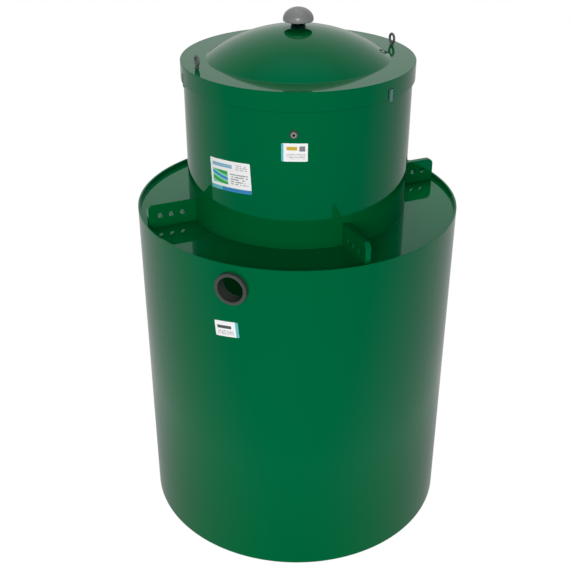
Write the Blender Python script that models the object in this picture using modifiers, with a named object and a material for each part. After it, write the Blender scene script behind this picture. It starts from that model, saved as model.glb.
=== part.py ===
"""Round plastic septic tank with an access neck and a lift-off domed lid.

Metres, +Z up. The origin is the centre of the tank's underside, and the four lifting
lugs lie on the X and Y axes. Every welded or seated pair of pieces keeps a gap of
0.3 mm, so that each piece stays a solid of its own.
"""
import math

import bmesh
import bpy
from mathutils import Matrix, Vector

# Driving dimensions
GAP = 0.0003
CUT_PAST = 0.02
BIG_STEPS = 96
MID_STEPS = 48
SMALL_STEPS = 24
SCREW_STEPS = 12

TANK_RADIUS = 0.600
TANK_WALL = 0.008
TANK_RIM_TOP = 1.297
BASE_THICKNESS = 0.015
DECK_TOP = 1.280
DECK_THICKNESS = 0.012

NECK_RADIUS = 0.407
NECK_WALL = 0.008

LID_RADIUS = 0.416
LID_TOP = 1.838
LID_PLATE_THICKNESS = 0.006
LID_EDGE_ROUND = 0.004
LID_EDGE_STEPS = 3
LID_HATCH_RADIUS = 0.300
SKIRT_WALL = 0.004
SKIRT_BOTTOM = 1.772

DOME_RADIUS = 0.325
DOME_RISE = 0.103
DOME_WALL = 0.005
DOME_ARC_POINTS = 8
DOME_STEPS = 72

LUG_ANGLES = (0.0, 90.0, 180.0, 270.0)
LUG_THICKNESS = 0.020
LUG_HEIGHT = 0.085
LUG_REACH = 0.585
LUG_CORNER = 0.022
LUG_CORNER_STEPS = 6
LUG_HOLE_RADIUS = 0.010
LUG_HOLE_HEIGHT = 0.040
LUG_FIRST_HOLE = 0.4575
LUG_HOLE_SPACING = 0.0415
LUG_HOLES = 3

INLET_ANGLE = 225.0
INLET_HEIGHT = 1.210
OUTLET_ANGLE = 45.0
OUTLET_HEIGHT = 1.160
PIPE_RADIUS = 0.055
PIPE_BORE = 0.049
PIPE_INNER_END = 0.560
PIPE_OUTER_END = 0.6125
SEAL_RADIUS = 0.0592
SEAL_BORE = 0.0465
SEAL_FACE = 0.616
SEAL_ROUND = 0.0015
SEAL_EDGE = 0.0025
SEAL_DEPTH = 0.032

KEY_ANGLES = (-65.5, 54.5, 174.5)
KEY_WIDTH = 0.012
KEY_BOTTOM = 1.764
KEY_TOP = 1.806
KEY_FACE = 0.4175
KEY_BEVEL = 0.003
KEY_BEVEL_STEPS = 2
NOTCH_WIDTH = 0.028
NOTCH_OFFSET = -0.006
NOTCH_TOP = 1.809
NOTCH_CUT_DEPTH = 0.03

GLAND_ANGLE = 244.5
GLAND_HEIGHT = 1.6945
GLAND_HOLE_RADIUS = 0.0083
GLAND_THREAD_RADIUS = 0.0080
GLAND_THREAD_LENGTH = 0.012
GLAND_WASHER_RADIUS = 0.0155
GLAND_WASHER_THICKNESS = 0.002
GLAND_BODY_RADIUS = 0.0105
GLAND_BODY_LENGTH = 0.006
GLAND_BODY_CHAMFER = 0.0015
GLAND_RECESS_RADIUS = 0.0048
GLAND_RECESS_DEPTH = 0.003
GLAND_NUT_THICKNESS = 0.005
GLAND_NUT_PLAY = 0.0008

STEM_RADIUS = 0.0235
STEM_BORE = 0.0195
STEM_TOP = 1.990
WINDOW_WIDTH = 0.014
WINDOW_HEIGHT = 0.012
WINDOW_MIDDLE = 0.013
WINDOW_CUT_LENGTH = 0.06
CAP_RADIUS = 0.0535
CAP_RISE = 0.040
CAP_WIDEST = 1.9686
CAP_LIP = 0.006
CAP_LIP_ROUND = 0.0012
CAP_LIP_INNER_ROUND = 0.0008
CAP_WALL = 0.0035
CAP_ARC_POINTS = 7
CAP_STEPS = 32
PLUG_BOTTOM = 1.975

EYE_ANGLES = (0.0, 180.0)
EYE_PLACE = 0.375
EYE_RING_RADIUS = 0.016
EYE_WIRE_RADIUS = 0.0045
EYE_RING_HEIGHT = 0.024
EYE_SHANK_RADIUS = 0.004
EYE_THREAD_PAST = 0.003
EYE_COLLAR_RADIUS = 0.0085
EYE_COLLAR_HEIGHT = 0.0025
EYE_HOLE_RADIUS = 0.0046
EYE_RING_SIDES = 28
EYE_WIRE_SIDES = 10
EYE_NUT_RADIUS = 0.0085
EYE_NUT_HEIGHT = 0.0065

# Name, wall radius, angle, height of the middle, width, height, tilt
LABELS = (
    ("label_neck_large", NECK_RADIUS, 211.7, 1.519, 0.171, 0.1105, 3.3),
    ("label_neck_small", NECK_RADIUS, 244.8, 1.633, 0.0875, 0.063, 0.0),
    ("label_tank_wall", TANK_RADIUS, 222.7, 1.0435, 0.090, 0.060, 5.4),
)
LABEL_THICKNESS = 0.001
LABEL_COLUMNS = 16

GREEN = (0.001, 0.122, 0.042)
GREY = (0.22, 0.22, 0.22)
BLACK = (0.012, 0.012, 0.012)
SEAL_GREY = (0.055, 0.055, 0.050)
STEEL = (0.42, 0.43, 0.44)
WHITE = (0.82, 0.84, 0.84)


def clear_scene():
    for obj in list(bpy.data.objects):
        bpy.data.objects.remove(obj, do_unlink=True)
    for collection in list(bpy.data.collections):
        bpy.data.collections.remove(collection)


def new_collection(name):
    collection = bpy.data.collections.new(name)
    bpy.context.scene.collection.children.link(collection)
    return collection


def paint(obj, name, color, roughness, metallic=0.0):
    material = bpy.data.materials.get(name)
    if material is None:
        material = bpy.data.materials.new(name)
        material.use_nodes = True
        shader = material.node_tree.nodes["Principled BSDF"]
        shader.inputs["Base Color"].default_value = (*color, 1.0)
        shader.inputs["Roughness"].default_value = roughness
        shader.inputs["Metallic"].default_value = metallic
        material.diffuse_color = (*color, 1.0)
    obj.data.materials.append(material)


def green_plastic(obj):
    paint(obj, "green_plastic", GREEN, 0.12)


def grey_plastic(obj):
    paint(obj, "grey_plastic", GREY, 0.35)


def black_plastic(obj):
    paint(obj, "black_plastic", BLACK, 0.45)


def seal_rubber(obj):
    paint(obj, "seal_rubber", SEAL_GREY, 0.6)


def plain_steel(obj):
    paint(obj, "plain_steel", STEEL, 0.3, 1.0)


def label_film(obj):
    paint(obj, "label_film", WHITE, 0.4)


class Tank:
    """The collections that hold the tank's pieces and the shapes that cut them."""
    pieces = None
    cutters = None


def add_object(name, mesh, is_cutter=False):
    obj = bpy.data.objects.new(name, mesh)
    if is_cutter:
        Tank.cutters.objects.link(obj)
        obj.hide_render = True
        obj.display_type = "WIRE"
    else:
        Tank.pieces.objects.link(obj)
    return obj


def mesh_from(name, bm):
    mesh = bpy.data.meshes.new(name)
    bm.to_mesh(mesh)
    bm.free()
    return mesh


def turned(name, profile, steps, closed=True, is_cutter=False):
    """Turn a profile of (radius, height) points, which runs down its outer side, about Z."""
    bm = bmesh.new()
    verts = [bm.verts.new((radius, 0.0, height)) for radius, height in profile]
    for start, end in zip(verts, verts[1:]):
        bm.edges.new((start, end))
    if closed:
        bm.edges.new((verts[-1], verts[0]))
    obj = add_object(name, mesh_from(name, bm), is_cutter)
    screw = obj.modifiers.new("Turn", "SCREW")
    screw.axis = "Z"
    screw.steps = steps
    screw.render_steps = steps
    screw.use_merge_vertices = True
    screw.merge_threshold = 0.0001
    screw.use_smooth_shade = True
    return obj


def tube(name, outer, inner, bottom, top, steps=BIG_STEPS, is_cutter=False):
    profile = [(outer, top), (outer, bottom), (inner, bottom), (inner, top)]
    return turned(name, profile, steps, is_cutter=is_cutter)


def disc(name, radius, bottom, top, steps=BIG_STEPS, is_cutter=False):
    profile = [(0.0, top), (radius, top), (radius, bottom), (0.0, bottom)]
    return turned(name, profile, steps, closed=False, is_cutter=is_cutter)


def block(name, size, centre, is_cutter=False):
    bm = bmesh.new()
    bmesh.ops.create_cube(bm, size=1.0)
    bmesh.ops.scale(bm, vec=Vector(size), verts=bm.verts)
    bmesh.ops.translate(bm, vec=Vector(centre), verts=bm.verts)
    return add_object(name, mesh_from(name, bm), is_cutter)


def rod(name, radius, start, end, steps=SMALL_STEPS, is_cutter=True):
    """A straight round bar between two points."""
    start, end = Vector(start), Vector(end)
    way = end - start
    turn = way.to_track_quat("Z", "Y").to_matrix().to_4x4()
    bm = bmesh.new()
    bmesh.ops.create_cone(bm, cap_ends=True, segments=steps, radius1=radius, radius2=radius,
                          depth=way.length, matrix=Matrix.Translation((start + end) / 2) @ turn)
    return add_object(name, mesh_from(name, bm), is_cutter)


def hexagon_nut(name, radius, bore, bottom, top):
    """A six-sided nut on the Z axis, whose round bore is cut through it."""
    nut = rod(name, radius, (0.0, 0.0, bottom), (0.0, 0.0, top), 6, is_cutter=False)
    cut = rod(f"{name}_bore", bore, (0.0, 0.0, bottom - CUT_PAST),
              (0.0, 0.0, top + CUT_PAST), SCREW_STEPS)
    boolean(nut, cut)
    return nut, cut


def boolean(obj, other, operation="DIFFERENCE"):
    modifier = obj.modifiers.new(other.name, "BOOLEAN")
    modifier.operation = operation
    modifier.solver = "EXACT"
    modifier.object = other


def outward(angle, radius, height, sideways=0.0):
    """A point at a distance from the tank's axis, in the direction of an angle in degrees."""
    turn = math.radians(angle)
    return Vector((radius * math.cos(turn) - sideways * math.sin(turn),
                   radius * math.sin(turn) + sideways * math.cos(turn),
                   height))


def face_outward(obj, angle, height):
    """Lay an object's Z axis along a radius of the tank."""
    obj.location = (0.0, 0.0, height)
    obj.rotation_euler = (0.0, math.radians(90.0), math.radians(angle))


def make_base_plate():
    base = disc("base_plate", TANK_RADIUS - TANK_WALL - GAP, 0.0, BASE_THICKNESS)
    green_plastic(base)


def make_tank_wall():
    wall = tube("tank_wall", TANK_RADIUS, TANK_RADIUS - TANK_WALL, 0.0, TANK_RIM_TOP)
    for name, angle, height in (("inlet_cut", INLET_ANGLE, INLET_HEIGHT),
                                ("outlet_cut", OUTLET_ANGLE, OUTLET_HEIGHT)):
        cut = rod(name, PIPE_RADIUS + GAP, outward(angle, PIPE_INNER_END, height),
                  outward(angle, TANK_RADIUS + CUT_PAST, height), MID_STEPS)
        boolean(wall, cut)
    green_plastic(wall)


def make_deck_plate():
    deck = tube("deck_plate", TANK_RADIUS - TANK_WALL - GAP, NECK_RADIUS - NECK_WALL,
                DECK_TOP - DECK_THICKNESS, DECK_TOP)
    green_plastic(deck)


def make_neck_wall():
    top = LID_TOP - LID_PLATE_THICKNESS - GAP
    neck = tube("neck_wall", NECK_RADIUS, NECK_RADIUS - NECK_WALL, DECK_TOP + GAP, top)
    cut = rod("gland_cut", GLAND_HOLE_RADIUS,
              outward(GLAND_ANGLE, NECK_RADIUS - CUT_PAST, GLAND_HEIGHT),
              outward(GLAND_ANGLE, NECK_RADIUS + CUT_PAST, GLAND_HEIGHT))
    boolean(neck, cut)
    green_plastic(neck)


def make_lifting_lug(number, angle):
    """An upright plate on the deck, against the neck, with a row of holes."""
    inner = NECK_RADIUS + GAP
    bottom = DECK_TOP + GAP
    top = DECK_TOP + LUG_HEIGHT
    bm = bmesh.new()
    bmesh.ops.create_cube(bm, size=1.0)
    bmesh.ops.scale(bm, vec=(LUG_REACH - inner, LUG_THICKNESS, top - bottom), verts=bm.verts)
    bmesh.ops.translate(bm, vec=((LUG_REACH + inner) / 2, 0.0, (top + bottom) / 2),
                        verts=bm.verts)
    corner = [edge for edge in bm.edges
              if all(v.co.x > LUG_REACH - GAP and v.co.z > top - GAP for v in edge.verts)]
    bmesh.ops.bevel(bm, geom=corner, offset=LUG_CORNER, segments=LUG_CORNER_STEPS,
                    profile=0.5, affect="EDGES")
    bmesh.ops.rotate(bm, cent=(0.0, 0.0, 0.0), verts=bm.verts,
                     matrix=Matrix.Rotation(math.radians(angle), 3, "Z"))
    lug = add_object(f"lifting_lug_{number}", mesh_from("lifting_lug", bm))
    for hole in range(LUG_HOLES):
        place = LUG_FIRST_HOLE + hole * LUG_HOLE_SPACING
        height = DECK_TOP + LUG_HOLE_HEIGHT
        cut = rod(f"lug_{number}_hole_{hole + 1}", LUG_HOLE_RADIUS,
                  outward(angle, place, height, -LUG_THICKNESS),
                  outward(angle, place, height, LUG_THICKNESS))
        boolean(lug, cut)
    green_plastic(lug)


def make_pipe_stub(name, angle, height):
    pipe = tube(f"{name}_pipe", PIPE_RADIUS, PIPE_BORE, PIPE_INNER_END, PIPE_OUTER_END,
                MID_STEPS)
    face_outward(pipe, angle, height)
    grey_plastic(pipe)


def make_pipe_seal(name, angle, height):
    """A rubber collar with an inward lip, which seats on the wall around the pipe's end."""
    back = SEAL_FACE - SEAL_DEPTH
    lip_back = PIPE_OUTER_END + GAP
    profile = [
        (SEAL_BORE + SEAL_ROUND, SEAL_FACE),
        (SEAL_RADIUS - SEAL_EDGE, SEAL_FACE),
        (SEAL_RADIUS, SEAL_FACE - SEAL_EDGE),
        (SEAL_RADIUS, back),
        (PIPE_RADIUS + GAP, back),
        (PIPE_RADIUS + GAP, lip_back),
        (SEAL_BORE, lip_back),
        (SEAL_BORE, SEAL_FACE - SEAL_ROUND),
    ]
    seal = turned(f"{name}_seal", profile, MID_STEPS)
    face_outward(seal, angle, height)
    trim = disc(f"{name}_seal_trim", TANK_RADIUS + GAP, height - SEAL_RADIUS - CUT_PAST,
                height + SEAL_RADIUS + CUT_PAST, is_cutter=True)
    boolean(seal, trim)
    seal_rubber(seal)


def make_label(name, radius, angle, height, width, tall, tilt):
    """A thin plate that is bent around a round wall and turned a little in its own plane."""
    bm = bmesh.new()
    bmesh.ops.create_grid(bm, x_segments=LABEL_COLUMNS, y_segments=1, size=0.5)
    lean = math.radians(tilt)
    face_radius = radius + GAP
    for vert in bm.verts:
        across, up = vert.co.x * width, vert.co.y * tall
        around = across * math.cos(lean) - up * math.sin(lean)
        rise = across * math.sin(lean) + up * math.cos(lean)
        vert.co = outward(angle + math.degrees(around / face_radius), face_radius,
                          height + rise)
    label = add_object(name, mesh_from(name, bm))
    solidify = label.modifiers.new("Thickness", "SOLIDIFY")
    solidify.thickness = LABEL_THICKNESS
    solidify.offset = 1.0
    label_film(label)


def make_cable_gland():
    """A washer and a plugged gland outside the neck, and a locknut inside it."""
    seat = NECK_RADIUS + GAP
    washer_face = seat + GLAND_WASHER_THICKNESS
    washer = tube("gland_washer", GLAND_WASHER_RADIUS, GLAND_HOLE_RADIUS, seat, washer_face,
                  SMALL_STEPS)
    face_outward(washer, GLAND_ANGLE, GLAND_HEIGHT)
    black_plastic(washer)

    body_back = washer_face + GAP
    body_face = body_back + GLAND_BODY_LENGTH
    recess = body_face - GLAND_RECESS_DEPTH
    thread_end = NECK_RADIUS - NECK_WALL - GLAND_THREAD_LENGTH
    profile = [
        (0.0, recess),
        (GLAND_RECESS_RADIUS, recess),
        (GLAND_RECESS_RADIUS, body_face),
        (GLAND_BODY_RADIUS - GLAND_BODY_CHAMFER, body_face),
        (GLAND_BODY_RADIUS, body_face - GLAND_BODY_CHAMFER),
        (GLAND_BODY_RADIUS, body_back),
        (GLAND_THREAD_RADIUS, body_back),
        (GLAND_THREAD_RADIUS, thread_end),
        (0.0, thread_end),
    ]
    body = turned("gland_body", profile, SMALL_STEPS, closed=False)
    face_outward(body, GLAND_ANGLE, GLAND_HEIGHT)
    plain_steel(body)

    nut_face = NECK_RADIUS - NECK_WALL - GLAND_NUT_PLAY
    nut, bore = hexagon_nut("gland_locknut", GLAND_WASHER_RADIUS, GLAND_HOLE_RADIUS,
                            nut_face - GLAND_NUT_THICKNESS, nut_face)
    face_outward(nut, GLAND_ANGLE, GLAND_HEIGHT)
    face_outward(bore, GLAND_ANGLE, GLAND_HEIGHT)
    black_plastic(nut)


def make_lid_key(number, angle):
    """A guide block on the neck, which a wider notch in the lid's skirt slips over."""
    back = NECK_RADIUS + GAP
    key = block(f"lid_key_{number}", (KEY_FACE - back, KEY_WIDTH, KEY_TOP - KEY_BOTTOM),
                ((KEY_FACE + back) / 2, 0.0, (KEY_TOP + KEY_BOTTOM) / 2))
    key.rotation_euler = (0.0, 0.0, math.radians(angle))
    bevel = key.modifiers.new("Rounded edges", "BEVEL")
    bevel.width = KEY_BEVEL
    bevel.segments = KEY_BEVEL_STEPS
    plain_steel(key)


def dome_centre():
    """The height of the dome's centre of curvature, and its outer radius."""
    radius = (DOME_RADIUS ** 2 + DOME_RISE ** 2) / (2 * DOME_RISE)
    return LID_TOP + DOME_RISE - radius, radius


def make_lid_plate():
    bottom = LID_TOP - LID_PLATE_THICKNESS
    corner = []
    for step in range(LID_EDGE_STEPS + 1):
        turn = math.radians(90.0) * step / LID_EDGE_STEPS
        corner.append((LID_RADIUS - LID_EDGE_ROUND * (1.0 - math.sin(turn)),
                       LID_TOP - LID_EDGE_ROUND * (1.0 - math.cos(turn))))
    profile = [(LID_HATCH_RADIUS, LID_TOP)] + corner
    profile += [(LID_RADIUS, bottom), (LID_HATCH_RADIUS, bottom)]
    plate = turned("lid_plate", profile, BIG_STEPS)
    plate.rotation_euler = (0.0, 0.0, math.pi / BIG_STEPS)
    for number, angle in enumerate(EYE_ANGLES, 1):
        cut = rod(f"eye_cut_{number}", EYE_HOLE_RADIUS,
                  outward(angle, EYE_PLACE, bottom - CUT_PAST),
                  outward(angle, EYE_PLACE, LID_TOP + CUT_PAST), SCREW_STEPS)
        boolean(plate, cut)
    green_plastic(plate)
    return plate


def make_lid_skirt():
    top = LID_TOP - LID_PLATE_THICKNESS - GAP
    skirt = tube("lid_skirt", LID_RADIUS, LID_RADIUS - SKIRT_WALL, SKIRT_BOTTOM, top)
    notch_bottom = SKIRT_BOTTOM - CUT_PAST
    for number, angle in enumerate(KEY_ANGLES, 1):
        cut = block(f"notch_{number}",
                    (NOTCH_CUT_DEPTH, NOTCH_WIDTH, NOTCH_TOP - notch_bottom),
                    (LID_RADIUS, NOTCH_OFFSET, (NOTCH_TOP + notch_bottom) / 2),
                    is_cutter=True)
        cut.rotation_euler = (0.0, 0.0, math.radians(angle))
        boolean(skirt, cut)
    green_plastic(skirt)
    return skirt


def make_lid_dome():
    """A shallow spherical shell with a level foot and a hole for the vent."""
    centre, outer = dome_centre()
    inner = outer - DOME_WALL
    foot = LID_TOP + GAP
    outer_end = math.acos((foot - centre) / outer)
    inner_end = math.acos((foot - centre) / inner)
    points = DOME_ARC_POINTS
    outer_start = math.asin(STEM_BORE / outer)
    inner_start = math.asin(STEM_BORE / inner)
    profile = []
    for step in range(points):
        turn = outer_start + (outer_end - outer_start) * step / (points - 1)
        profile.append((outer * math.sin(turn), centre + outer * math.cos(turn)))
    for step in range(points):
        turn = inner_end + (inner_start - inner_end) * step / (points - 1)
        profile.append((inner * math.sin(turn), centre + inner * math.cos(turn)))
    dome = turned("lid_dome", profile, DOME_STEPS)
    green_plastic(dome)
    return dome


def make_vent_stem():
    """A short tube on the dome's crown, with four air windows under the cap."""
    stem = tube("vent_stem", STEM_RADIUS, STEM_BORE, LID_TOP + DOME_RISE, STEM_TOP, MID_STEPS)
    middle = (0.0, 0.0, LID_TOP + DOME_RISE + WINDOW_MIDDLE)
    for number, size in enumerate(((WINDOW_CUT_LENGTH, WINDOW_WIDTH, WINDOW_HEIGHT),
                                   (WINDOW_WIDTH, WINDOW_CUT_LENGTH, WINDOW_HEIGHT)), 1):
        cut = block(f"window_cut_{number}", size, middle, is_cutter=True)
        boolean(stem, cut)
    black_plastic(stem)
    return stem


def make_vent_cap():
    """A hollow rounded cap that plugs into the stem and shades its windows."""
    profile = []
    points = CAP_ARC_POINTS
    for step in range(points):
        turn = math.radians(90.0) * step / (points - 1)
        profile.append((CAP_RADIUS * math.sin(turn), CAP_WIDEST + CAP_RISE * math.cos(turn)))
    lip_bottom = CAP_WIDEST - CAP_LIP
    inner_radius = CAP_RADIUS - CAP_WALL
    inner_rise = CAP_RISE - CAP_WALL
    profile.append((CAP_RADIUS - CAP_LIP_ROUND, lip_bottom + CAP_LIP_ROUND))
    profile.append((CAP_RADIUS - 2 * CAP_LIP_ROUND, lip_bottom))
    profile.append((inner_radius - CAP_LIP_INNER_ROUND, lip_bottom))
    end = math.asin(STEM_RADIUS / inner_radius)
    for step in range(points):
        turn = math.radians(90.0) + (end - math.radians(90.0)) * step / (points - 1)
        profile.append((inner_radius * math.sin(turn),
                        CAP_WIDEST + inner_rise * math.cos(turn)))
    seat = STEM_TOP + GAP
    profile.append((STEM_RADIUS, seat))
    profile.append((STEM_BORE - GAP, seat))
    profile.append((STEM_BORE - GAP, PLUG_BOTTOM))
    profile.append((0.0, PLUG_BOTTOM))
    cap = turned("vent_cap", profile, CAP_STEPS, closed=False)
    grey_plastic(cap)
    return cap


def make_eye_bolt(number, angle):
    """A wire ring on a shank, whose ring stands across the radius."""
    seat = LID_TOP + GAP
    ring_height = LID_TOP + EYE_RING_HEIGHT
    shank_top = ring_height - EYE_RING_RADIUS
    thread_end = LID_TOP - LID_PLATE_THICKNESS - EYE_NUT_HEIGHT - EYE_THREAD_PAST
    profile = [
        (0.0, shank_top),
        (EYE_SHANK_RADIUS, shank_top),
        (EYE_SHANK_RADIUS, seat + EYE_COLLAR_HEIGHT),
        (EYE_COLLAR_RADIUS, seat + EYE_COLLAR_HEIGHT),
        (EYE_COLLAR_RADIUS, seat),
        (EYE_SHANK_RADIUS, seat),
        (EYE_SHANK_RADIUS, thread_end),
        (0.0, thread_end),
    ]
    bolt = turned(f"lid_eye_bolt_{number}", profile, SCREW_STEPS, closed=False)
    bolt.location = outward(angle, EYE_PLACE, 0.0)
    bpy.ops.mesh.primitive_torus_add(major_radius=EYE_RING_RADIUS,
                                     minor_radius=EYE_WIRE_RADIUS,
                                     major_segments=EYE_RING_SIDES,
                                     minor_segments=EYE_WIRE_SIDES)
    ring = bpy.context.object
    ring.name = f"eye_ring_{number}"
    ring.location = outward(angle, EYE_PLACE, ring_height)
    ring.rotation_euler = (0.0, math.radians(90.0), math.radians(angle))
    for collection in list(ring.users_collection):
        collection.objects.unlink(ring)
    Tank.cutters.objects.link(ring)
    ring.hide_render = True
    ring.display_type = "WIRE"
    boolean(bolt, ring, "UNION")
    plain_steel(bolt)
    return bolt


def make_eye_nut(number, angle):
    top = LID_TOP - LID_PLATE_THICKNESS - GAP
    nut, bore = hexagon_nut(f"lid_eye_nut_{number}", EYE_NUT_RADIUS,
                            EYE_SHANK_RADIUS + GAP, top - EYE_NUT_HEIGHT, top)
    nut.location = outward(angle, EYE_PLACE, 0.0)
    bore.location = nut.location
    plain_steel(nut)
    return nut


def make_lid():
    """The pieces that lift off together, parented to an empty on the lifting axis."""
    axis = bpy.data.objects.new("lid_lift_axis", None)
    Tank.pieces.objects.link(axis)
    pieces = [make_lid_plate(), make_lid_skirt(), make_lid_dome(), make_vent_stem(),
              make_vent_cap()]
    for number, angle in enumerate(EYE_ANGLES, 1):
        pieces.append(make_eye_bolt(number, angle))
        pieces.append(make_eye_nut(number, angle))
    for piece in pieces:
        piece.parent = axis


def main():
    clear_scene()
    Tank.pieces = new_collection("septic_tank")
    Tank.cutters = new_collection("cutters")
    make_base_plate()
    make_tank_wall()
    make_deck_plate()
    make_neck_wall()
    for number, angle in enumerate(LUG_ANGLES, 1):
        make_lifting_lug(number, angle)
    for name, angle, height in (("inlet", INLET_ANGLE, INLET_HEIGHT),
                                ("outlet", OUTLET_ANGLE, OUTLET_HEIGHT)):
        make_pipe_stub(name, angle, height)
        make_pipe_seal(name, angle, height)
    make_cable_gland()
    for number, angle in enumerate(KEY_ANGLES, 1):
        make_lid_key(number, angle)
    for label in LABELS:
        make_label(*label)
    make_lid()


main()
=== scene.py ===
"""Builds the detailed pieces, the finishes and the stage of a round plastic septic tank.

It is laid out as an add-on and run as a script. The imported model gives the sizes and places,
and each operator dresses one piece, or one group of like pieces.
"""
import math

import bmesh
import bpy
from bpy.props import FloatProperty, FloatVectorProperty, IntProperty, PointerProperty
from mathutils import Matrix, Vector


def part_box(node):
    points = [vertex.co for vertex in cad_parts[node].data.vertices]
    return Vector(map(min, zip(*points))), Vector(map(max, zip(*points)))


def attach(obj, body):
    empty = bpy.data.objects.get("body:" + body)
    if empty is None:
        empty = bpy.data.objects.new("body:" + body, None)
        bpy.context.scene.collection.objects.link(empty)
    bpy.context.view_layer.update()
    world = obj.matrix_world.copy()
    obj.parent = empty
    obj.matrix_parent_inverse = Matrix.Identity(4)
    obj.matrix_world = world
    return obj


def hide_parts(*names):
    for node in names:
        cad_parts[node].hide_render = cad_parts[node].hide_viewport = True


bl_info = {
    "name": "Septic Tank Dressing",
    "version": (1, 0, 0),
    "blender": (4, 5, 0),
    "location": "3D View > Sidebar > Tank",
    "description": "Detailed pieces, finishes and a stage for a round plastic septic tank",
    "category": "Add Mesh",
}

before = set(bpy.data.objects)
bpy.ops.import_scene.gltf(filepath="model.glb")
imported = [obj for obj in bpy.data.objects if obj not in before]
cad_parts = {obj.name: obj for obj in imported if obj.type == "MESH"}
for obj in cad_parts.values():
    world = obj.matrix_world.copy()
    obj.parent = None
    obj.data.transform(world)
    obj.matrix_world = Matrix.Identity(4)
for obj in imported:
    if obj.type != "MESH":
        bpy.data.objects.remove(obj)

# How shapes are cut, merged and picked
CUT_PAST = 0.02
SHORT_PAST = 0.01
CUT_MERGE = 0.00001
SPIN_MERGE = 0.000002
PICK = 0.001
QUARTER = math.radians(90.0)
SHARP_ANGLE = math.radians(50.0)
SHADE_ANGLE = math.radians(38.0)
HEXAGON = 6
BORE_STEPS = 32

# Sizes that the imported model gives
TANK_RADIUS, _, RIM_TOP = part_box("tank_wall")[1]
BASE_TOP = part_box("base_plate")[1][2]
(_, _, DECK_BOTTOM), (_, _, DECK_TOP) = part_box("deck_plate")
NECK_RADIUS, _, NECK_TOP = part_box("neck_wall")[1]
(_, _, SKIRT_BOTTOM), (LID_RADIUS, _, _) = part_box("lid_skirt")
(_, _, LID_UNDER), (_, _, LID_TOP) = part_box("lid_plate")
DOME_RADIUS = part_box("lid_dome")[1][0]
STEM_RADIUS, _, STEM_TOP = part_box("vent_stem")[1]
CAP_RADIUS, _, CAP_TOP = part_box("vent_cap")[1]

# Walls, floor, deck and neck
SHEET = 0.008
TANK_BORE = TANK_RADIUS - SHEET
NECK_BORE = NECK_RADIUS - SHEET
BASE_FOOT = 0.0005
DECK_LAP = 0.001
NECK_LAP = 0.001
WELD_RADIUS = 0.001
WELD_LAP = 0.0004

# Lid and vent
SKIRT_WALL = 0.004
DOME_RISE = 0.103
DOME_WALL = 0.005
DOME_SPHERE = (DOME_RADIUS ** 2 + DOME_RISE ** 2) / (2 * DOME_RISE)
DOME_CENTRE = LID_TOP + DOME_RISE - DOME_SPHERE
DOME_CROWN = LID_TOP + DOME_RISE
DOME_FOOT = LID_TOP + 0.002
DOME_STEPS = 28
HATCH_RADIUS = 0.300
STEM_BORE = 0.0195
STEM_FOOT_RADIUS = STEM_RADIUS + 0.0035
STEM_LAP = 0.0008
FLARE_RADIUS = 0.032
FLARE_FOOT = 1.948
FLARE_TOP = 1.961
CAP_RISE = 0.040
CAP_WIDEST = CAP_TOP - CAP_RISE
CAP_LIP = 0.006
CAP_WALL = 0.0035
CAP_STEPS = 20
PLUG_BOTTOM = 1.975
WINDOW_LENGTH = 0.07
WINDOW_WIDTH = 0.014
WINDOW_HEIGHT = 0.012
WINDOW_MIDDLE = 0.013

# Pipe ports: angle and height of each, and sizes of pipe and seal
INLET = (225.0, 1.210)
OUTLET = (45.0, 1.160)
PIPE_RADIUS = 0.055
PIPE_BORE = 0.049
PIPE_BACK = 0.560
PIPE_FRONT = 0.6125
PIPE_EDGE = 0.001
SEAL_RADIUS = 0.0592
SEAL_BORE = 0.0465
SEAL_FACE = 0.616
SEAL_START = PIPE_FRONT + 0.0003
SEAL_BACK = TANK_RADIUS - 0.006
SEAL_SEAT = TANK_RADIUS - 0.0004
SEAL_TRIM = 0.1

# Lifting lugs
LUG_ANGLES = (0.0, 90.0, 180.0, 270.0)
LUG_THICKNESS = 0.020
LUG_INNER = NECK_RADIUS - 0.001
LUG_REACH = 0.585
LUG_FOOT = DECK_TOP - 0.0005
LUG_TOP = 1.365
LUG_CORNER = 0.022
LUG_EDGE = 0.0009
LUG_HOLE_RADIUS = 0.010
LUG_HOLE_HEIGHT = 1.320
LUG_HOLE_CHAMFER = 0.0022
LUG_HOLE_STEPS = 40
LUG_HOLES = (0.4575, 0.499, 0.5405)
LUG_DECK_WELD = DECK_TOP - 0.0002
LUG_NECK_WELD = NECK_RADIUS - 0.0003
WELD_STEPS = 5

# Lid keys on the neck, and the notches over them
KEY_ANGLES = (-65.5, 54.5, 174.5)
KEY_WIDTH = 0.012
KEY_BACK = NECK_RADIUS - 0.0005
KEY_FACE = 0.4175
KEY_BOTTOM = 1.764
KEY_TOP = 1.806
KEY_EDGE = 0.0022
NOTCH_WIDTH = 0.028
NOTCH_DEPTH = 0.03
NOTCH_OFFSET = -0.006
NOTCH_TOP = 1.809
NOTCH_CORNER = 0.003

# Cable gland: its angle and height, then radii, then distances from the tank's axis
GLAND = (244.5, 1.6945)
GLAND_HOLE_RADIUS = 0.0083
GLAND_WASHER_RADIUS = 0.0155
GLAND_BODY_RADIUS = 0.0105
GLAND_THREAD_RADIUS = 0.0080
GLAND_NUT_BORE = 0.0081
GLAND_RECESS_RADIUS = 0.0048
GLAND_PLUG_RADIUS = GLAND_RECESS_RADIUS - 0.0002
GLAND_FLATS_RADIUS = GLAND_BODY_RADIUS * 1.10
GLAND_SLOT = (0.0062, 0.0011, 0.0014)
GLAND_STEPS = 64
GLAND_PLUG_STEPS = 40
GLAND_SEAT = NECK_RADIUS + 0.0001
GLAND_FACE = GLAND_SEAT + 0.002
GLAND_FRONT = GLAND_FACE + 0.0063
GLAND_RECESS = GLAND_FRONT - 0.0028
GLAND_THREAD_END = NECK_BORE - 0.012
GLAND_NUT_FACE = NECK_BORE - 0.0002
GLAND_NUT_HEIGHT = 0.0055

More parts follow.
